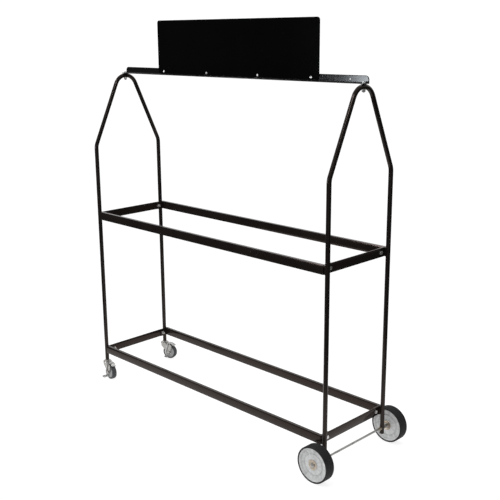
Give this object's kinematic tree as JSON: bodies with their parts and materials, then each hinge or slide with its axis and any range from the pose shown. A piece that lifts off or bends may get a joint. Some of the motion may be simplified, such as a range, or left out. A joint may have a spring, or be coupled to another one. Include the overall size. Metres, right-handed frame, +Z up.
{
  "type": "wheeled saddle rack",
  "caption": "Wheeled steel saddle rack: bent-tube end hoops, mid and low rail frames, a ridge angle with a blank header panel, a wheel axle and braked swivel casters.",
  "frame": {"origin": "on the floor, under the middle of the overall bounding box", "axes": "+X along the rack towards the large wheels, +Y towards the back, away from the side with the panel screw heads, +Z up"},
  "size_m": [1.5524, 0.5432, 1.7755],
  "materials": {
    "black_paint": "gloss black paint with slight orange peel and light scuffs",
    "panel_black": "smooth gloss black",
    "bright_zinc": "bright zinc plate",
    "pedal_steel": "zinc plate, dulled by shoes",
    "yellow_zinc": "yellow zinc plate",
    "axle_steel": "drawn steel rod",
    "ball_steel": "polished bearing balls",
    "hub_plastic": "light grey moulded plastic",
    "tyre_rubber": "matte black ribbed rubber",
    "caster_core": "grey moulded plastic",
    "caster_tread": "dark grey non-marking rubber"
  },
  "bodies": {
    "frame": {"left_end_hoop": "black_paint", "right_end_hoop": "black_paint", "low_left_end_rail": "black_paint", "mid_left_end_rail": "black_paint", "low_right_end_rail": "black_paint", "mid_right_end_rail": "black_paint", "low_front_rail": "black_paint", "mid_front_rail": "black_paint", "low_back_rail": "black_paint", "mid_back_rail": "black_paint", "rail_bolts": "bright_zinc", "rail_lock_washers": "bright_zinc", "rail_nuts": "bright_zinc", "ridge_angle": "black_paint", "ridge_bolts": "bright_zinc", "ridge_saddle_washers": "bright_zinc", "ridge_nuts": "bright_zinc", "header_panel": "panel_black", "panel_screws": "bright_zinc", "panel_washers": "bright_zinc", "panel_nuts": "bright_zinc", "wheel_axle": "axle_steel", "axle_collars": "yellow_zinc", "axle_spacers": "axle_steel", "wheel_washers": "bright_zinc", "axle_caps": "bright_zinc", "front_caster_socket": "bright_zinc", "front_caster_stem": "bright_zinc", "front_caster_top_cup": "bright_zinc", "back_caster_socket": "bright_zinc", "back_caster_stem": "bright_zinc", "back_caster_top_cup": "bright_zinc"},
    "front_wheel": {"front_wheel_tyre": "tyre_rubber", "front_wheel_hub": "hub_plastic", "front_wheel_bearings": "yellow_zinc"},
    "front_caster_swivel": {"front_caster_fork": "bright_zinc", "front_caster_balls": "ball_steel", "front_caster_axle_sleeve": "bright_zinc", "front_caster_axle_bolt": "bright_zinc", "front_caster_axle_nut": "bright_zinc", "front_caster_brake_pin": "bright_zinc"},
    "front_caster_wheel": {"front_caster_tread": "caster_tread", "front_caster_core": "caster_core"},
    "front_caster_brake": {"front_caster_brake_lever": "pedal_steel"},
    "back_wheel": {"back_wheel_tyre": "tyre_rubber", "back_wheel_hub": "hub_plastic", "back_wheel_bearings": "yellow_zinc"},
    "back_caster_swivel": {"back_caster_fork": "bright_zinc", "back_caster_balls": "ball_steel", "back_caster_axle_sleeve": "bright_zinc", "back_caster_axle_bolt": "bright_zinc", "back_caster_axle_nut": "bright_zinc", "back_caster_brake_pin": "bright_zinc"},
    "back_caster_wheel": {"back_caster_tread": "caster_tread", "back_caster_core": "caster_core"},
    "back_caster_brake": {"back_caster_brake_lever": "pedal_steel"}
  },
  "joints": [
    {"name": "front_wheel_spin", "type": "hinge", "parent": "frame", "child": "front_wheel", "pos_m": [0.7, -0.244, 0.0762], "axis": [0, 1, 0], "continuous": true},
    {"name": "back_wheel_spin", "type": "hinge", "parent": "frame", "child": "back_wheel", "pos_m": [0.7, 0.244, 0.0762], "axis": [0, 1, 0], "continuous": true},
    {"name": "front_caster_swivel_turn", "type": "hinge", "parent": "frame", "child": "front_caster_swivel", "pos_m": [-0.755, -0.1905, 0.086], "axis": [0, 0, 1], "continuous": true},
    {"name": "front_caster_wheel_spin", "type": "hinge", "parent": "front_caster_swivel", "child": "front_caster_wheel", "pos_m": [-0.72312, -0.19329, 0.0381], "axis": [0.0872, 0.9962, 0], "continuous": true},
    {"name": "front_caster_brake_press", "type": "hinge", "parent": "front_caster_swivel", "child": "front_caster_brake", "pos_m": [-0.7286, -0.19281, 0.08], "axis": [0.0872, 0.9962, 0], "range_deg": [0, 6.4]},
    {"name": "back_caster_swivel_turn", "type": "hinge", "parent": "frame", "child": "back_caster_swivel", "pos_m": [-0.755, 0.1905, 0.086], "axis": [0, 0, 1], "continuous": true},
    {"name": "back_caster_wheel_spin", "type": "hinge", "parent": "back_caster_swivel", "child": "back_caster_wheel", "pos_m": [-0.72493, 0.20144, 0.0381], "axis": [-0.342, 0.9397, 0], "continuous": true},
    {"name": "back_caster_brake_press", "type": "hinge", "parent": "back_caster_swivel", "child": "back_caster_brake", "pos_m": [-0.7301, 0.19956, 0.08], "axis": [-0.342, 0.9397, 0], "range_deg": [0, 6.4]}
  ]
}
